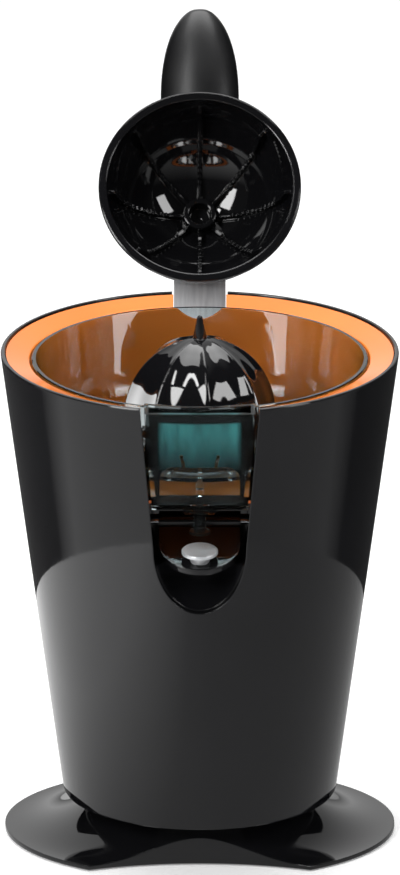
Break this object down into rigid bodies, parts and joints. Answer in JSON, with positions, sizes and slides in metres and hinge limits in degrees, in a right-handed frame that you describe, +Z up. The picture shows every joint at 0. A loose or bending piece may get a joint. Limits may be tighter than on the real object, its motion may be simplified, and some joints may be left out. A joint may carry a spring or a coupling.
{
  "type": "citrus press juicer",
  "caption": "Electric citrus press: tapered round tub on an oval foot, clear juice bowl with front spout, ridged cone, and a domed press cup on a fold-back lever.",
  "frame": {"origin": "on the table, under the axis of the reaming cone", "axes": "+Z up, -Y to the front where the spout is, +X to the right seen from the front"},
  "size_m": [0.1896, 0.3243, 0.3418],
  "materials": {
    "gloss_black": "polished black moulding",
    "satin_black": "satin black moulding",
    "gloss_orange": "polished orange moulding",
    "clear_blue": "clear, slightly blue moulding",
    "gear_plastic": "natural acetal",
    "brushed_steel": "brushed along the strip",
    "steel": "turned steel",
    "satin_metal": "satin silver",
    "aluminium": "pressed sheet",
    "motor_iron": "stacked sheets",
    "copper": "enamelled wire",
    "brass": "sintered bronze",
    "rubber": "moulded rubber"
  },
  "bodies": {
    "body": {"base_plate": "gloss_black", "base_screws": "steel", "bottom_cover": "satin_black", "cord_grommet": "rubber", "cover_screws": "steel", "drip_pin": "steel", "gearbox_base": "satin_black", "gearbox_cover": "satin_black", "gearbox_screws": "steel", "hinge_bracket": "satin_black", "hinge_pin": "steel", "idler_pin": "steel", "juice_container": "clear_blue", "liner_screws": "steel", "motor_bearings": "brass", "motor_bracket": "aluminium", "motor_screws": "steel", "motor_spacers": "aluminium", "motor_stator": "motor_iron", "motor_windings": "copper", "orange_liner": "gloss_orange", "outer_housing": "gloss_black", "pulp_sieve": "clear_blue", "return_spring": "steel", "rubber_feet": "rubber", "shaft_seal": "rubber", "spindle_bushes": "gear_plastic", "spout_niche": "gloss_black", "switch_body": "satin_black"},
    "lever": {"press_dome": "gloss_black", "lever_arm": "brushed_steel", "handle_upper_shell": "satin_black", "handle_lower_shell": "satin_black", "dome_screws": "steel", "handle_screws": "steel", "hinge_bushes": "brass"},
    "motor": {"motor_rotor": "motor_iron", "motor_shaft": "steel", "motor_pinion": "brass"},
    "idler": {"idler_gear": "gear_plastic"},
    "drive": {"output_gear": "gear_plastic"},
    "cone": {"reaming_cone": "gloss_black", "drive_spindle": "steel", "start_collar": "gear_plastic"},
    "plunger": {"switch_plunger": "gear_plastic"},
    "drip": {"drip_stop": "gloss_black", "drip_pad": "satin_metal"}
  },
  "joints": [
    {"name": "lever_tilt", "type": "hinge", "parent": "body", "child": "lever", "pos_m": [0, 0.085, 0.213], "axis": [1, 0, 0], "range_deg": [0, 128]},
    {"name": "motor_spin", "type": "hinge", "parent": "body", "child": "motor", "pos_m": [0, 0, 0.1], "axis": [0, 0, 1], "continuous": true},
    {"name": "idler_spin", "type": "hinge", "parent": "body", "child": "idler", "pos_m": [0.036, 0, 0.15], "axis": [0, 0, 1], "continuous": true},
    {"name": "drive_spin", "type": "hinge", "parent": "body", "child": "drive", "pos_m": [0, 0, 0.16], "axis": [0, 0, 1], "continuous": true},
    {"name": "cone_press", "type": "slide", "parent": "drive", "child": "cone", "axis": [0, 0, 1], "range_m": [-0.0025, 0], "stiffness_N_per_m": 2400, "springref_m": 0.003, "deforming": ["return_spring"]},
    {"name": "switch_press", "type": "slide", "parent": "body", "child": "plunger", "axis": [0, 0, 1], "range_m": [-0.0025, 0]},
    {"name": "drip_close", "type": "hinge", "parent": "body", "child": "drip", "pos_m": [0, -0.05, 0.171], "axis": [-1, 0, 0], "range_deg": [0, 14.5]}
  ],
  "couplings": [
    {"joint": "idler_spin", "follows": "motor_spin", "ratio": -0.25},
    {"joint": "drive_spin", "follows": "motor_spin", "ratio": 0.071429},
    {"joint": "switch_press", "follows": "cone_press", "ratio": 1}
  ]
}
